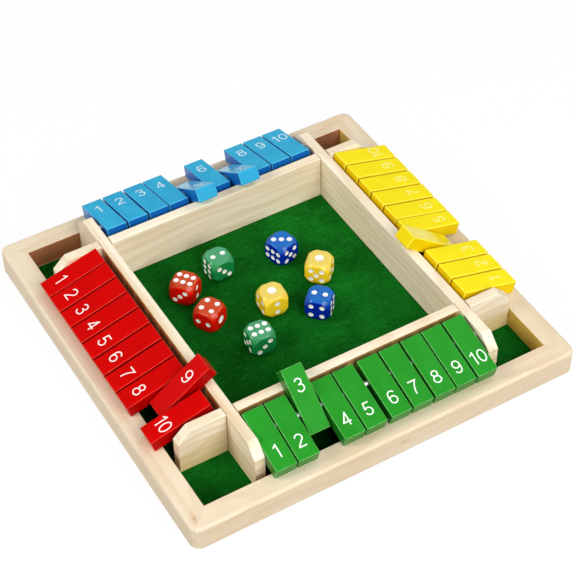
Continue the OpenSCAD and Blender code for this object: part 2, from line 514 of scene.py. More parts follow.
    def _seams(self, graph: Graph, spot: Value) -> Value | float:
        """Finds the fine dark lines where boards meet.

        Args:
            graph: Graph of the material.
            spot: Place on the board, grain along X.

        Returns:
            The mask of the lines, or 0 on a board without any.
        """
        x, y, _ = graph.split(spot)
        seam = 0.0
        if self.mitred:
            seam = (1 - graph.band(abs(abs(x) - abs(y)), 0.08, 0.36)) * 0.16
        for joint in self.joints:
            line = 1 - graph.band(abs(x - joint), 0.15, 0.75)
            seam = graph.math("MAXIMUM", seam, line * 0.75)
        return seam

    def _knot(self, graph: Graph, colour: Value, spot: Value, at: Place, brown: Colour) -> Value:
        """Adds one pin knot.

        Args:
            graph: Graph of the material.
            colour: Colour of the wood so far.
            spot: Place on the board, grain along X.
            at: Where the knot is on the board.
            brown: Colour of the knot's heart.

        Returns:
            The colour with the knot in it.
        """
        x, y, z = graph.split(spot)
        gap = (((x - at[0]) * 0.5) ** 2 + (y - at[1]) ** 2 + (z - at[2]) ** 2) ** 0.5
        halo = 1 - graph.band(gap, 0.5, 3.4)
        heart = 1 - graph.band(gap, 0.25, 0.8)
        ringed = graph.mix(halo * 0.4, colour, self.streak)
        return graph.mix(heart * 0.55, ringed, brown)


@dataclass(frozen=True)
class TileColours:
    """The colours of one row of tiles: paint, rubbed edges with a painted highlight, paint patches, sides
    and ends painted darker as shade, and figures.
    """

    paint: Colour
    # rubbed edges, paler also as a painted highlight
    worn_and_glint: Colour
    shade: Colour
    # painted shade: colours of the sides and both ends, each painted darker by which way it faces
    side: Colour
    inner_end_shade: Colour
    outer_end: Colour
    figure: Colour


@dataclass(frozen=True)
class TilePaint:
    """Satin paint on a wooden tile, thin and paler along the edges, with a highlight painted there too, and
    with shade painted on its sides and ends.
    """

    name: str
    colours: TileColours
    heading: float
    tilt: float
    wood: Colour = srgb(214, 178, 128)
    relief: float = 0.06

    def build(self) -> bpy.types.Material:
        """Makes the material.

        Returns:
            The paint, with brush drift, fibres that show through, rubbed edges with a painted highlight,
            and painted shade on sides and ends.
        """
        material, graph = new_material(self.name)
        spot, facing = graph.place()
        for axis, angle in (("Z_AXIS", -self.heading), ("X_AXIS", -self.tilt)):
            settings = {"rotation_type": axis}
            spot = graph.node("ShaderNodeVectorRotate", settings, {"Vector": spot, "Angle": angle})
            facing = graph.node("ShaderNodeVectorRotate", settings, {"Vector": facing, "Angle": angle})
        fibre = graph.noise(spot, (1.5, 0.06, 1.5), detail=3.0, rough=0.6)
        cloud = graph.noise(spot, (0.07, 0.045, 0.07))
        peel = graph.noise(spot, (1.1, 0.9, 1.1))
        nick = graph.noise(spot, (0.42, 0.42, 0.42), (7.0, 3.0, 5.0), 3.0, 0.6)

        paints = self.colours
        across, along, _ = graph.split(facing)
        colour = graph.mix(graph.band(cloud, 0.3, 0.7) * 0.35, paints.paint, paints.shade)
        colour = graph.mix(graph.band(fibre, 0.5, 0.85) * 0.3, colour, paints.shade)
        # painted shade: sides and ends are painted darker by which way they face
        faces = ((abs(across), paints.side), (along, paints.outer_end), (along * -1, paints.inner_end_shade))
        for towards, tint in faces:
            colour = graph.mix(graph.band(towards, 0.7, 0.98) * 0.9, colour, tint)
        # painted highlight: rounded edges are painted paler, along with real rubbing
        edge = graph.rounding(facing, 0.74, 0.93)
        rub_and_glint = 0.35 + 0.45 * graph.band(nick, 0.35, 0.65)
        colour = graph.mix(edge * rub_and_glint, colour, paints.worn_and_glint)
        bare = edge * graph.band(nick, 0.7, 0.76)
        colour = graph.mix(bare * 0.8, colour, self.wood)

        slant = graph.node("ShaderNodeLayerWeight", {}, {"Blend": 0.5}).other("Facing")
        inputs = {
            "Base Color": colour,
            "Roughness": 0.3 + 0.12 * peel + 0.1 * fibre + 0.2 * bare,
            "Specular IOR Level": 0.05,
            "Coat Weight": 0.02 + 0.68 * graph.band(slant, 0.5, 0.75),
            "Coat Roughness": 0.14,
            "Coat IOR": 1.6,
        }
        close_material(graph, peel * 0.5 + fibre * 0.6 - bare * 1.2, self.relief, inputs)
        return material


@dataclass(frozen=True)
class FigurePaint:
    """Printed white paint of the figures and of the dice's pips."""

    name: str
    white: Colour
    thin: Colour
    roughness: float = 0.4
    relief: float = 0.02

    def build(self) -> bpy.types.Material:
        """Makes the material.

        Returns:
            The white paint, a little thin in places.
        """
        material, graph = new_material(self.name)
        spot, _ = graph.place()
        cover = graph.noise(spot, (0.6, 0.6, 0.6), detail=3.0, rough=0.6)
        grit = graph.noise(spot, (3.0, 3.0, 3.0))
        colour = graph.mix(graph.band(cover, 0.55, 0.8) * 0.5, self.white, self.thin)
        inputs = {"Base Color": colour, "Roughness": self.roughness + 0.15 * grit}
        close_material(graph, grit, self.relief, inputs)
        return material


@dataclass(frozen=True)
class Felt:
    """Short green felt with matted fibres that lie in patches.

    Lengths are in millimetres. Shade is painted on the felt: it is painted darkest along the foot of
    the tray's walls and in the troughs under the tiles. Light is painted across the tray: it is
    painted darker to the left and lighter towards the tray's right, a change which starts and is
    full at the two distances from the tray's middle.
    """

    tray_middle: Point
    tray_half: float
    name: str = "green_felt"
    deep: Colour = srgb(6, 93, 10)
    middle: Colour = srgb(13, 122, 26)
    light: Colour = srgb(42, 160, 62)
    sheen: Colour = srgb(90, 170, 100)
    # painted light: where the painted light across the tray starts and is full, from the tray's middle
    light_ramp_start: float = -25.0
    light_ramp_full: float = 45.0
    relief: float = 0.4

    def build(self) -> bpy.types.Material:
        """Makes the material.

        Returns:
            The felt, with fibres, patches, pills, sheen, and painted shade and light.
        """
        material, graph = new_material(self.name)
        spot, _ = graph.place()
        patch = graph.noise(spot, (0.03, 0.03, 0.03), detail=3.0, rough=0.6, twist=0.6)
        mottle = graph.noise(spot, (0.75, 0.75, 0.75), (3.0, 8.0, 0.0), 3.0, 0.7, 1.0)
        lay = graph.noise(spot, (0.12, 0.42, 0.3), detail=4.0, rough=0.65, twist=1.4)
        cross = graph.noise(spot, (0.5, 0.16, 0.3), (9.0, 4.0, 0.0), 4.0, 0.65, 1.6)
        fibre = graph.noise(spot, (1.6, 1.6, 1.6), detail=4.0, rough=0.75, twist=2.0)

        colour = graph.mix(graph.band(patch, 0.32, 0.7), self.deep, self.middle)
        colour = graph.mix(graph.band(lay, 0.48, 0.72) * 0.5, colour, self.light)
        colour = graph.mix(graph.band(cross, 0.52, 0.75) * 0.4, colour, self.light)
        colour = graph.mix((1 - graph.band(fibre, 0.3, 0.72)) * 0.45, colour, scaled(self.deep, 0.55))
        colour = graph.mix(graph.band(fibre, 0.62, 0.82) * 0.3, colour, self.light)
        dark = scaled(self.deep, 0.22)
        foot_shade, trough_shade, painted_light_ramp = self._zones(graph, spot)
        # painted shade away from the tray's right, and a little painted light towards it
        colour = graph.mix((1 - painted_light_ramp) * 0.26, colour, dark)
        colour = graph.mix(painted_light_ramp * 0.03, colour, self.light)
        colour = graph.mix(graph.band(mottle, 0.5, 0.68) * 0.3, colour, dark)
        colour = graph.mix((1 - graph.band(mottle, 0.34, 0.5)) * 0.16, colour, self.light)
        # painted shade along the foot of the walls and in the troughs
        colour = graph.mix(foot_shade * 0.6, colour, dark)
        colour = graph.mix(trough_shade * 0.6, colour, dark)

        inputs = {
            "Base Color": colour,
            "Roughness": 0.86 + 0.12 * fibre,
            "Specular IOR Level": 0.04,
            "Sheen Weight": 0.04,
            "Sheen Roughness": 0.5,
            "Sheen Tint": self.sheen,
        }
        close_material(graph, fibre * 1.2 + lay * 0.5 + cross * 0.4, self.relief, inputs)
        return material

    def _zones(self, graph: Graph, spot: Value) -> tuple[Value, Value, Value]:
        """Finds where shade and light are painted on the floor.

        Args:
            graph: Graph of the material.
            spot: Place on the floor.

        Returns:
            The painted shade at the foot of the tray's walls, the painted shade in the troughs, and the
            ramp of painted light across the tray.
        """
        x, y, _ = graph.split(spot)
        centre_x, centre_y = self.tray_middle
        sideways = abs(x - centre_x)
        forward = abs(y - centre_y)
        reach = graph.math("MAXIMUM", sideways, forward)
        short = graph.math("MINIMUM", sideways, forward)
        # painted shade at the foot of the walls and in the troughs, and painted light across the tray
        foot_shade = 1 - graph.band(abs(reach - self.tray_half), 0.4, 1.3)
        outside = graph.band(reach, self.tray_half + 4, self.tray_half + 8)
        trough_shade = outside * (1 - graph.band(short, self.tray_half - 1, self.tray_half + 3))
        inside = 1 - graph.band(reach, self.tray_half, self.tray_half + 3)
        painted_light_ramp = graph.band(x, centre_x + self.light_ramp_start, centre_x + self.light_ramp_full) * inside
        return foot_shade, trough_shade, painted_light_ramp


@dataclass(frozen=True)
class DrawnSteel:
    """Bright drawn steel rod with fine turning marks."""

    name: str = "rod_steel"
    metal: Colour = srgb(222, 222, 220)
    dull: Colour = srgb(165, 163, 158)
    relief: float = 0.01

    def build(self) -> bpy.types.Material:
        """Makes the material.

        Returns:
            The steel, with draw lines and dull spots.
        """
        material, graph = new_material(self.name)
        spot, _ = graph.place()
        line = graph.noise(spot, (3.0, 3.0, 3.0), detail=3.0)
        spots = graph.noise(spot, (0.3, 0.3, 0.3))
        colour = graph.mix(graph.band(spots, 0.5, 0.75) * 0.5, self.metal, self.dull)
        rough = 0.2 + 0.18 * line + 0.12 * spots
        inputs = {"Base Color": colour, "Roughness": rough, "Metallic": 1.0}
        close_material(graph, line, self.relief, inputs)
        return material


@dataclass(frozen=True)
class DicePlastic:
    """Polished plastic of a die, with painted light making it paler on top and painted shade making it
    darkest at its foot.
    """

    name: str
    # painted light: the colour painted on faces that look up, and the darker colour of the sides
    lit: Colour
    deep: Colour
    # painted shade: the heights between which the die is painted darker towards its foot
    floor: float = 2.5
    foot_shade_top: float = 9.0
    relief: float = 0.012

    def build(self) -> bpy.types.Material:
        """Makes the material.

        Returns:
            The plastic, with flow marks, hairline scratches, painted light on top and painted shade at its
            foot.
        """
        material, graph = new_material(self.name)
        spot, facing = graph.place()
        _, _, up = graph.split(facing)
        _, _, height = graph.split(spot)
        flow = graph.noise(spot, (0.1, 0.1, 0.14), twist=0.8)
        hair = graph.math(
            "MAXIMUM", graph.noise(spot, (0.25, 2.8, 2.8)), graph.noise(spot, (2.8, 0.25, 2.8))
        )
        scratch = graph.band(hair, 0.6, 0.78)
        # painted light: faces that look up are painted paler than the sides
        lit = graph.band(up, 0.2, 0.95) * (0.8 + 0.2 * graph.band(flow, 0.3, 0.72))
        colour = graph.mix(lit, self.deep, self.lit)
        # painted shade: darker towards the die's foot
        low = 1 - graph.band(height, self.floor, self.foot_shade_top)
        colour = graph.mix(low * 0.75, colour, scaled(self.deep, 0.2))
        inputs = {
            "Base Color": colour,
            "Roughness": 0.08 + 0.1 * scratch + 0.05 * flow,
            "Specular IOR Level": 0.05,
            "Coat Weight": 0.4,
            "Coat Roughness": 0.04,
        }
        close_material(graph, scratch * -1, self.relief, inputs)
        return material


# ---- mesh tools ----


def finish_mesh(
    name: str, bm: bmesh.types.BMesh, material: bpy.types.Material, body: str
) -> bpy.types.Object:
    """Turns a bmesh into a piece that rides on a body.

    Args:
        name: Name of the piece.
        bm: The finished shape, in metres, in place.
        material: Its finish.
        body: Body that carries it.

    Returns:
        The new piece.
    """
    mesh = bpy.data.meshes.new(name)
    bm.to_mesh(mesh)
    bm.free()
    obj = bpy.data.objects.new(name, mesh)
    bpy.context.scene.collection.objects.link(obj)
    dress(obj, material)
    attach(obj, body)
    return obj


ARC_STEP = 11
LEAST_ARC_STEPS = 6


def arc(cx: float, cy: float, rx: float, ry: float, start: float, end: float) -> list[Point]:
    """Returns points on a stretched arc.

    Args:
        cx: Middle, to the right.
        cy: Middle, upwards.
        rx: Half width.
        ry: Half height.
        start: First angle in degrees, from the right and anticlockwise.
        end: Last angle in degrees.

    Returns:
        The points from start to end.
    """
    steps = max(LEAST_ARC_STEPS, round(abs(end - start) / ARC_STEP))
    angles = [math.radians(start + (end - start) * k / steps) for k in range(steps + 1)]
    return [(cx + rx * math.cos(a), cy + ry * math.sin(a)) for a in angles]


@dataclass(frozen=True)
class Numeral:
    """A plain printed number, drawn as strokes of one width in a box one unit high."""

    number: int
    half_width: float = 0.048
    one_left: float = 0.33
    zero_right: float = 0.287
    sharpest: float = 0.45

    def strokes(self) -> list[list[Point]]:
        """Returns the middle lines of the number's strokes."""
        if self.number == 10:
            one = [[(x - self.one_left, y) for x, y in line] for line in self._digit(1)]
            return one + [[(x + self.zero_right, y) for x, y in line] for line in self._digit(0)]
        return self._digit(self.number)

    def _digit(self, digit: int) -> list[list[Point]]:
        """Returns the middle lines of one digit.

        Args:
            digit: The digit from 0 to 9.

        Returns:
            Its strokes, centred on X.
        """
        ring = arc(0.005, 0.315, 0.25, 0.262, 0, 360)
        six = [ring, arc(0.02, 0.66, 0.265, 0.286, 30, 180) + [(-0.262, 0.5), (-0.245, 0.33)]]
        shapes = {
            0: [arc(0, 0.5, 0.259, 0.446, 0, 360)],
            1: [
                [(0.065, 0.0), (0.065, 1.0)],
                [(-0.185, 0.76), (-0.07, 0.83), (0.02, 0.93), (0.065, 0.985)],
            ],
            2: [
                arc(0, 0.70, 0.25, 0.246, 168, -30)
                + [(0.13, 0.49), (-0.06, 0.30), (-0.2, 0.15), (-0.25, 0.054)],
                [(-0.29, 0.054), (0.29, 0.054)],
            ],
            3: [
                arc(-0.005, 0.745, 0.225, 0.201, 165, -80) + [(-0.06, 0.545)],
                arc(0, 0.30, 0.255, 0.246, 85, -165),
            ],
            4: [[(0.3, 0.283), (-0.27, 0.283), (0.1, 0.93)], [(0.12, 0.0), (0.12, 1.0)]],
            5: [[(0.25, 0.946), (-0.15, 0.946), (-0.215, 0.475)], arc(0, 0.315, 0.255, 0.262, 135, -165)],
            6: six,
            7: [[(-0.29, 0.946), (0.27, 0.946), (0.13, 0.74), (0.0, 0.48), (-0.07, 0.22), (-0.09, 0.0)]],
            8: [arc(0, 0.745, 0.215, 0.201, 0, 360), arc(0, 0.30, 0.262, 0.246, 0, 360)],
            9: [[(-x, 1 - y) for x, y in line] for line in six],
        }
        return shapes[digit]

    def _ribbon(self, line: list[Point]) -> list[list[Vector]]:
        """Widens a middle line into one four-sided patch for each step.

        Args:
            line: Middle line of a stroke.

        Returns:
            The patches, which share their ends.
        """
        points = [Vector(p) for p in line]
        closed = (points[0] - points[-1]).length < 1e-4
        sides = []
        for i, point in enumerate(points):
            before = points[i] - points[i - 1] if i else None
            after = points[i + 1] - points[i] if i + 1 < len(points) else None
            if closed and before is None:
                before = points[-1] - points[-2]
            if closed and after is None:
                after = points[1] - points[0]
            first = (before or after).normalized()
            last = (after or before).normalized()
            bisector = (first + last).normalized()
            reach = self.half_width / max(self.sharpest, bisector.dot(first))
            side = Vector((-bisector.y, bisector.x)) * reach
            sides.append((point + side, point - side))
        return [[a[1], b[1], b[0], a[0]] for a, b in zip(sides, sides[1:])]

    def add_to(
        self, bm: bmesh.types.BMesh, height: float, thick: float, sunk: float, place: Matrix
    ) -> None:
        """Adds the number to a bmesh as a thin plate, with lengths in metres.

        Args:
            bm: Mesh that the number joins.
            height: Height of the number.
            thick: Thickness of the plate.
            sunk: How much of it lies below the face.
            place: From the number's own axes to the object's.
        """
        patches = [quad for line in self.strokes() for quad in self._ribbon(line)]
        corners = [corner for quad in patches for corner in quad]
        loops = [list(range(4 * k, 4 * k + 4)) for k in range(len(patches))]
        found = geometry.delaunay_2d_cdt(corners, [], loops, 0, 1e-5)
        flat = [bm.verts.new((v.x * height, (v.y - 0.5) * height, -sunk)) for v in found[0]]
        kept = [face for face, made_of in zip(found[2], found[5]) if made_of]
        faces = [bm.faces.new([flat[k] for k in face]) for face in kept]
        raised = bmesh.ops.extrude_face_region(bm, geom=faces, use_keep_orig=True)["geom"]
        top = [item for item in raised if isinstance(item, bmesh.types.BMVert)]
        bmesh.ops.translate(bm, verts=top, vec=(0, 0, thick))
        loose = [v for v in flat if not v.link_faces]
        bmesh.ops.delete(bm, geom=loose, context="VERTS")
        flat = [v for v in flat if v.is_valid]
        bmesh.ops.transform(bm, matrix=place, verts=flat + top)


# ---- sub-assemblies ----


@dataclass
class WoodenBox:
    """The frame, the floor and the dice tray, with lengths in millimetres."""

    tray_middle: Point = (3.0, 3.7)
    tray_half: float = 84.8
    wall: float = 7.4
    frame_inner: float = 129.0
    trough_half: float = 90.0
    front_bruise: Place = (8.0, -145.0, 10.0)
    left_pin_knot: Place = (-135.1, 139.2, 18.4)

    def rails(self) -> dict[str, LacqueredWood]:
        """Returns the finishes of the frame's rails, whose inner faces are painted in shade."""
        inner = self.frame_inner
        across, lengthwise = Grain.ACROSS, Grain.FRONT_TO_BACK
        tones = {"pale": srgb(236, 221, 195), "warm": srgb(225, 203, 170), "streak": srgb(208, 172, 126)}
        # painted shade: each rail's inner face is painted dim, deep brown on the back rail and yellow, as
        # if bounced from the yellow tiles, on the right rail
        front = {"figure": 0.35, "shade_face": -inner, "knots": (self.front_bruise,), "seed": 3.0}
        back = {"figure": 0.3, "shade_face": inner, "dim": srgb(163, 75, 0), "seed": 11.0}
        left = {"figure": 0.3, "shade_face": inner, "knots": (self.left_pin_knot,), "seed": 19.0}
        right = {"figure": 0.35, "shade_face": -inner, "dim": srgb(224, 183, 38), "seed": 27.0}
        return {
            "rail_front": LacqueredWood("rail_front_wood", across, mitred=True, **tones, **front),
            "rail_back": LacqueredWood("rail_back_wood", across, mitred=True, **tones, **back),
            "rail_left": LacqueredWood("rail_left_wood", lengthwise, mitred=True, **tones, **left),
            "rail_right": LacqueredWood("rail_right_wood", lengthwise, mitred=True, **tones, **right),
        }

    def walls(self) -> dict[str, LacqueredWood]:
        """Returns the finishes of the tray's walls, whose outer faces are painted in shade, and of the
        cheeks; long walls and cheeks are painted darker towards the floor.
        """
        middle_x, middle_y = self.tray_middle
        reach = self.tray_half + self.wall
        across, lengthwise = Grain.ACROSS, Grain.FRONT_TO_BACK
        tones = {"pale": srgb(252, 241, 219), "warm": srgb(242, 224, 190), "streak": srgb(208, 173, 120)}
        inner_joints = (middle_x - self.tray_half, middle_x + self.tray_half)
        outer_joints = (middle_x - reach, middle_x + reach)
        # painted shade: each wall's outer face is painted dim along the troughs, and the long walls and
        # cheeks are painted darker towards the floor
        left = {"figure": 0.5, "shade_face": reach - middle_x, "foot_shade": 0.45, "seed": 5.0}
        right = {"figure": 0.45, "shade_face": -reach - middle_x, "foot_shade": 0.45, "seed": 14.0}
        front = {"figure": 0.45, "shade_face": middle_y - reach, "joints": inner_joints, "seed": 23.0}
        back = {"figure": 0.45, "shade_face": middle_y + reach, "joints": inner_joints, "seed": 31.0}
        cheeks = {"figure": 0.6, "foot_shade": 0.75, "joints": outer_joints, "seed": 7.0}
        for wall in (left, right, front, back):
            wall["dim_run"] = self.trough_half
        return {
            "left_long_wall": LacqueredWood("left_wall_wood", lengthwise, **tones, **left),
            "right_long_wall": LacqueredWood("right_wall_wood", lengthwise, **tones, **right),
            "front_short_wall": LacqueredWood("front_wall_wood", across, **tones, **front),
            "back_short_wall": LacqueredWood("back_wall_wood", across, **tones, **back),
            "end_cheeks": LacqueredWood("cheek_wood", across, **tones, **cheeks),
        }

    def floor(self) -> dict[str, LacqueredWood | Felt | DrawnSteel]:
        """Returns the finishes of the base panel, the felt and the rods."""
        tones = {"pale": srgb(222, 196, 152), "warm": srgb(206, 174, 124), "streak": srgb(176, 136, 84)}
        return {
            "base_panel": LacqueredWood("base_wood", Grain.ACROSS, figure=0.8, seed=41.0, **tones),
            "felt_sheet": Felt(self.tray_middle, self.tray_half),
            "pivot_rods": DrawnSteel(),
        }

    def build(self, nodes: dict[str, bpy.types.Object]) -> None:
        """Dresses the wooden pieces, the felt and the rods.

        Args:
            nodes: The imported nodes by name.
        """
        for node, finish in (self.rails() | self.walls() | self.floor()).items():
            dress(nodes[node], finish.build())
            log.info("dressed %s as %s", node, finish.name)


@dataclass
class TileRow:
    """Ten flip tiles on one rod, with a number on both faces of each.

    Lengths are in millimetres and the heading, the turn from the blue row's direction, is in
    degrees. The outer end and the figures are placed by their distance from the rod.
    """

    row: Row
    colours: TileColours
    heading: float
    flips_up: bool = True
    thickness: float = 10.0
    outer_end: float = 30.2
    end_rounding: float = 0.8
    rail_top: float = 18.4
    clearance: float = 0.05
    figure_height: float = 9.75
    figure_out: float = 16.6
    shut_figure_out: float = 16.2
    plate: float = 0.1

    def tilt(self, joint: dict) -> float:
        """Finds a tile's turn about its rod at rest.

        Args:
            joint: The tile's hinge in the record.

        Returns:
            The turn from level, in radians: an open tile's outer end lies on its rail, and a
            shut tile is turned back from there by the whole range of its hinge.
        """
        run = self.outer_end - self.end_rounding
        drop = self.thickness / 2 - self.end_rounding
        fall = joint["pos_m"][2] / MM - self.rail_top - self.end_rounding - self.clearance
        open_slope = math.asin(fall / math.hypot(run, drop)) - math.atan2(drop, run)
        shut_by = max(0.0, -joint["range_deg"][0])
        return math.radians(shut_by) - open_slope

    def figure_place(self, joint: dict, top: bool) -> Matrix:
        """Finds where a number sits on one face of a tile.

        Args:
            joint: The tile's hinge in the record.
            top: Whether it is the face that looks up while the tile is open.

        Returns:
            From the number's axes to the object's.
        """
        normal = Vector((0, 0, 1 if top else -1))
        up = Vector((0, -1 if top == self.flips_up else 1, 0))
        right = up.cross(normal)
        spot = Vector((0, self.figure_out if top else self.shut_figure_out, 0))
        spot += normal * self.thickness / 2
        face = Matrix((right, up, normal)).transposed().to_4x4()
        face.translation = spot * MM
        place = Matrix.Translation(joint["pos_m"])
        place @= Matrix.Rotation(math.radians(self.heading), 4, "Z")
        return place @ Matrix.Rotation(self.tilt(joint), 4, "X") @ face

    def paints(self, joints: list[dict]) -> list[bpy.types.Material]:
        """Makes the paint of the open tiles and of the shut ones, whose grain is tilted otherwise.

        Args:
            joints: The row's hinges in the record.

        Returns:
            The paint of each tile.
        """
        made: dict[float, bpy.types.Material] = {}
        for joint in joints:
            tilt = self.tilt(joint)
            if tilt not in made:
                name = f"{self.row.value}_{'shut' if tilt > 0 else 'open'}_paint"
                made[tilt] = TilePaint(name, self.colours, math.radians(self.heading), tilt).build()
        return [made[self.tilt(joint)] for joint in joints]

    def build(self, nodes: dict[str, bpy.types.Object], joints: dict[str, dict]) -> None:
        """Paints the tiles and prints their numbers.

        Args:
            nodes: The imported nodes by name.
            joints: The record's joints by the body they move.
        """
        colour = self.row.value
        tiles = [f"{colour}_tile_{number:02d}" for number in range(1, 11)]
        paints = self.paints([joints[tile] for tile in tiles])
        thin = tuple((a + b) / 2 for a, b in zip(self.colours.figure, self.colours.paint))
        figures = FigurePaint(f"{colour}_figures", self.colours.figure, thin).build()
        for number, (tile, paint) in enumerate(zip(tiles, paints), 1):
            dress(nodes[tile], paint)
            bm = bmesh.new()
            for top in (True, False):
                place = self.figure_place(joints[tile], top)
                numeral = Numeral(number)
                numeral.add_to(bm, self.figure_height * MM, self.plate * MM, self.plate * MM / 2, place)
            bmesh.ops.recalc_face_normals(bm, faces=bm.faces)
            finish_mesh(f"{tile}_figures", bm, figures, tile)
            log.info("painted %s and its number", tile)


@dataclass(frozen=True)
class ThrownDie:
    """One die as it has landed: its middle in millimetres, its upper number and its turn in degrees."""

    name: str
    x: float
    y: float
    top: int
    spin: float


@dataclass
class DiceSet:
    """The eight dice, with white paint in their hollow pips; lengths are in millimetres."""

    throws: tuple[ThrownDie, ...]
    plastics: dict[str, DicePlastic]
    edge: float = 18.0
    pip: float = 1.95
    ace: float = 3.2
    rest: float = 2.55
    skin: float = 0.03
    under: float = 0.12
    lip: float = 0.01
    hollow: float = 0.25
    dish_segments: int = 28
    ball_rings: int = 44

    def spots(self, number: int) -> list[Point]:
        """Returns the pips' places on the face with this number, in millimetres."""
        near, far, slim = (self.edge * share for share in (0.218, 0.286, 0.17))
        square = [(x, y) for x in (-near, near) for y in (-near, near)]
        places = {
            1: [(0.0, 0.0)],
            2: [(-near, 0.0), (near, 0.0)],
            3: [(near, near), (0.0, 0.0), (-near, -near)],
            4: square,
            5: [(0.0, 0.0)] + square,
            6: [(x, y) for x in (-far, 0.0, far) for y in (-slim, slim)],
        }
        return places[number]

    def face_turn(self, number: int) -> Matrix:
        """Returns the turn from the upper face to the face with this number."""
        turns = {1: ("X", 0), 2: ("Y", 90), 3: ("X", -90), 4: ("X", 90), 5: ("Y", -90), 6: ("X", 180)}
        axis, angle = turns[number]
        return Matrix.Rotation(math.radians(angle), 4, axis)

    def die_place(self, die: ThrownDie) -> Matrix:
        """Returns where a die stands and how it is turned."""
        place = Matrix.Translation(Vector((die.x, die.y, self.rest + self.edge / 2)) * MM)
        return place @ Matrix.Rotation(math.radians(die.spin), 4, "Z") @ self.face_turn(die.top).inverted()

    def add_dish(self, bm: bmesh.types.BMesh, rim: float, place: Matrix) -> None:
        """Adds the paint in one pip, a thin dish that follows the hollow.

        Args:
            bm: Mesh that the dish joins.
            rim: Radius of the hollow's rim, in millimetres.
            place: From the middle of the pip's rim to the object's axes.
        """
        depth = rim * self.hollow
        ball = (rim * rim + depth * depth) / (2 * depth)
        part = bmesh.new()
        steps = {"u_segments": self.dish_segments, "v_segments": self.ball_rings}
        bmesh.ops.create_uvsphere(part, radius=(ball - self.skin) * MM, **steps)
        bmesh.ops.translate(part, verts=part.verts, vec=(0, 0, (ball - depth) * MM))
        everything = part.verts[:] + part.edges[:] + part.faces[:]
        rim_plane = {"plane_co": (0, 0, -self.lip * MM), "plane_no": (0, 0, 1)}
        bmesh.ops.bisect_plane(part, geom=everything, clear_outer=True, **rim_plane)
        bmesh.ops.solidify(part, geom=part.faces[:], thickness=-self.under * MM)
        bmesh.ops.recalc_face_normals(part, faces=part.faces)
        bmesh.ops.transform(part, matrix=place, verts=part.verts)
        step = bpy.data.meshes.new("pip_step")
        part.to_mesh(step)
        part.free()
        bm.from_mesh(step)
        bpy.data.meshes.remove(step)

    def build(self, nodes: dict[str, bpy.types.Object]) -> None:
        """Dresses the dice and fills their pips.

        Args:
            nodes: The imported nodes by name.
        """
        bodies = {colour: plastic.build() for colour, plastic in self.plastics.items()}
        white = FigurePaint("pip_white", srgb(248, 247, 243), srgb(226, 224, 218), 0.25).build()
        for die in self.throws:
            colour = die.name.split("_")[0]
            dress(nodes[die.name], bodies[colour])
            bm = bmesh.new()
            for number in range(1, 7):
                rim = self.ace if number == 1 else self.pip
                for x, y in self.spots(number):
                    spot = Matrix.Translation(Vector((x, y, self.edge / 2)) * MM)
                    self.add_dish(bm, rim, self.die_place(die) @ self.face_turn(number) @ spot)
            for face in bm.faces:
                face.smooth = True
            finish_mesh(f"{die.name}_pips", bm, white, die.name)
            log.info("dressed %s and its pips", die.name)


@dataclass(frozen=True)
class Lamp:
    """A square soft lamp that looks at the middle of the box, in metres and watts."""

    name: str
    at: Place
    size: float
    power: float
    tint: Colour

    def build(self) -> None:
        """Hangs the lamp."""
        data = bpy.data.lights.new(self.name, "AREA")
        data.size = self.size
        data.energy = self.power
        data.color = self.tint
        lamp = bpy.data.objects.new(self.name, data)
        lamp.location = self.at
        lamp.rotation_euler = (-Vector(self.at)).to_track_quat("-Z", "Y").to_euler()
        bpy.context.scene.collection.objects.link(lamp)


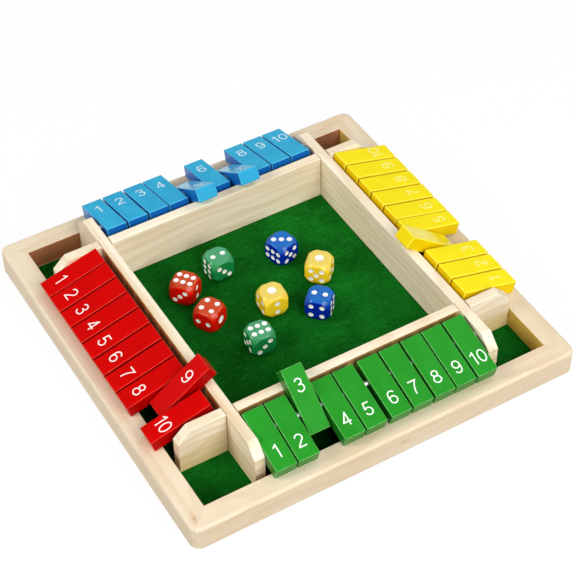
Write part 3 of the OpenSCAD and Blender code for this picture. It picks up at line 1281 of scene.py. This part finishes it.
@dataclass
class Studio:
    """Pale floor, soft lamps and the camera at the photograph's angle.

    Lengths are in metres and angles in degrees. At azimuth 0 the camera looks towards the back.
    """

    lens_mm: float = 107.76
    spot: Place = (-0.40457, -0.71287, 0.87054)
    azimuth: float = -30.025
    elevation: float = 45.804
    roll: float = -0.809
    sky: float = 0.22
    floor_half: float = 4.0
    floor_drop: float = 0.0003
    floor_lit: Colour = (0.4, 0.4, 0.4)
    floor_seen: Colour = (0.98, 0.98, 0.98)
    floor_glow: float = 0.94
    lamps: tuple[Lamp, ...] = (
        Lamp("left_lamp", (-1.5, 0.25, 1.05), 0.8, 18.0, (1.0, 0.99, 0.97)),
        Lamp("front_lamp", (0.1, -1.5, 1.05), 1.2, 27.0, (1.0, 0.995, 0.985)),
        Lamp("far_lamp", (1.3, 0.1, 1.5), 1.2, 9.6, (1.0, 1.0, 1.0)),
    )

    def camera(self) -> None:
        """Makes the camera."""
        data = bpy.data.cameras.new("studio_camera")
        data.sensor_width = 36.0
        data.lens = self.lens_mm
        data.clip_start, data.clip_end = 0.05, 50.0
        camera = bpy.data.objects.new("studio_camera", data)
        turns = (("Z", self.azimuth), ("X", 90 - self.elevation), ("Z", self.roll))
        place = Matrix.Translation(self.spot)
        for axis, angle in turns:
            place @= Matrix.Rotation(math.radians(angle), 4, axis)
        camera.matrix_world = place
        bpy.context.scene.collection.objects.link(camera)
        bpy.context.scene.camera = camera

    def seen(self, graph: Graph) -> Value:
        """Finds rays that look at the background instead of lighting the object."""
        path = graph.node("ShaderNodeLightPath")
        rays = path.other("Is Camera Ray") + path.other("Is Glossy Ray")
        return graph.math("MINIMUM", rays + path.other("Is Transmission Ray"), 1.0)

    def world(self) -> None:
        """Makes the white surroundings."""
        world = bpy.data.worlds.new("studio_world")
        bpy.context.scene.world = world
        world.use_nodes = True
        graph = Graph(world.node_tree)
        strength = self.sky + (1 - self.sky) * self.seen(graph)
        sky = graph.node("ShaderNodeBackground", {}, {"Color": (1.0, 1.0, 1.0), "Strength": strength})
        graph.node("ShaderNodeOutputWorld", {}, {"Surface": sky})

    def floor(self) -> None:
        """Makes the pale floor, which keeps a faint shadow."""
        bm = bmesh.new()
        bmesh.ops.create_grid(bm, x_segments=1, y_segments=1, size=self.floor_half)
        bmesh.ops.translate(bm, verts=bm.verts, vec=(0, 0, -self.floor_drop))
        mesh = bpy.data.meshes.new("studio_floor")
        bm.to_mesh(mesh)
        bm.free()
        floor = bpy.data.objects.new("studio_floor", mesh)
        bpy.context.scene.collection.objects.link(floor)
        material, graph = new_material("studio_white")
        looks = self.seen(graph)
        paint = graph.mix(looks, self.floor_lit, self.floor_seen)
        matt = graph.node("ShaderNodeBsdfDiffuse", {}, {"Color": paint})
        glow = graph.node("ShaderNodeEmission", {}, {"Color": (1.0, 1.0, 1.0), "Strength": 1.0})
        both = graph.node("ShaderNodeMixShader", {}, {0: looks * self.floor_glow, 1: matt, 2: glow})
        graph.node("ShaderNodeOutputMaterial", {}, {"Surface": both})
        dress(floor, material)
        floor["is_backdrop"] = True

    def build(self) -> None:
        """Sets up the whole studio."""
        bpy.context.scene.view_settings.view_transform = "Standard"
        self.camera()
        self.world()
        self.floor()
        for lamp in self.lamps:
            lamp.build()
        log.info("set up the studio")


# ---- the object ----


def tile_rows() -> tuple[TileRow, ...]:
    """Returns the four rows of tiles, each with its paint."""
    green = TileColours(
        paint=srgb(40, 149, 40),
        worn_and_glint=srgb(144, 222, 134),
        shade=srgb(27, 127, 29),
        side=srgb(24, 114, 26),
        inner_end_shade=srgb(24, 118, 24),
        outer_end=srgb(27, 124, 27),
        figure=srgb(240, 250, 238),
    )
    red = TileColours(
        paint=srgb(206, 1, 0),
        worn_and_glint=srgb(238, 74, 54),
        shade=srgb(180, 0, 0),
        side=srgb(170, 0, 0),
        inner_end_shade=srgb(180, 0, 0),
        outer_end=srgb(188, 0, 0),
        figure=srgb(250, 236, 232),
    )
    blue = TileColours(
        paint=srgb(52, 184, 226),
        worn_and_glint=srgb(120, 204, 232),
        shade=srgb(30, 146, 208),
        side=srgb(10, 92, 182),
        inner_end_shade=srgb(6, 84, 176),
        outer_end=srgb(44, 166, 214),
        figure=srgb(222, 242, 250),
    )
    yellow = TileColours(
        paint=srgb(255, 238, 28),
        worn_and_glint=srgb(255, 246, 120),
        shade=srgb(246, 218, 8),
        side=srgb(236, 202, 4),
        inner_end_shade=srgb(240, 206, 6),
        outer_end=srgb(248, 222, 14),
        figure=srgb(252, 246, 146),
    )
    return (
        TileRow(Row.GREEN, green, heading=180, figure_out=17.5, shut_figure_out=17.0),
        TileRow(Row.RED, red, heading=90, shut_figure_out=15.6),
        TileRow(Row.BLUE, blue, heading=0, flips_up=False, figure_out=16.0),
        TileRow(Row.YELLOW, yellow, heading=-90),
    )


def dice_set() -> DiceSet:
    """Returns the dice as they lie in the tray."""
    throws = (
        ThrownDie("red_die_a", -47.8, 47.1, 6, -51.8),
        ThrownDie("red_die_b", -45.4, 16.0, 4, -149.7),
        ThrownDie("green_die_a", -16.8, 56.0, 2, -178.2),
        ThrownDie("green_die_b", -27.0, -20.3, 6, -4.5),
        ThrownDie("blue_die_a", 29.5, 46.5, 3, 105.1),
        ThrownDie("blue_die_b", 25.0, -13.1, 2, -46.2),
        ThrownDie("yellow_die_a", 42.7, 16.6, 1, 44.5),
        ThrownDie("yellow_die_b", -1.7, 6.5, 1, -94.3),
    )
    plastics = {
        "red": DicePlastic("red_plastic", srgb(196, 72, 22), srgb(214, 5, 1)),
        "green": DicePlastic("green_plastic", srgb(72, 160, 112), srgb(22, 130, 66)),
        "blue": DicePlastic("blue_plastic", srgb(8, 106, 190), srgb(0, 34, 160)),
        "yellow": DicePlastic("yellow_plastic", srgb(232, 207, 100), srgb(250, 210, 38)),
    }
    return DiceSet(throws, plastics)


def clear_stage() -> None:
    """Removes any camera or lamp that the file starts with."""
    for stray in list(bpy.context.scene.objects):
        if stray.type in {"CAMERA", "LIGHT"}:
            bpy.data.objects.remove(stray)


def corners() -> list[list[float]]:
    """Returns the lowest and highest corner of what is shown."""
    return [list(corner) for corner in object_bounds()]


def main() -> None:
    """Builds the sub-assemblies in order."""
    logging.basicConfig(level=logging.INFO, format="%(name)s: %(message)s")
    clear_stage()
    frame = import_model()
    nodes = frame["nodes"]
    joints = {joint["child"]: joint for joint in frame["joints"]}

    Studio().build()
    WoodenBox().build(nodes)
    for row in tile_rows():
        row.build(nodes, joints)
    dice_set().build(nodes)


if __name__ == "__main__":
    main()
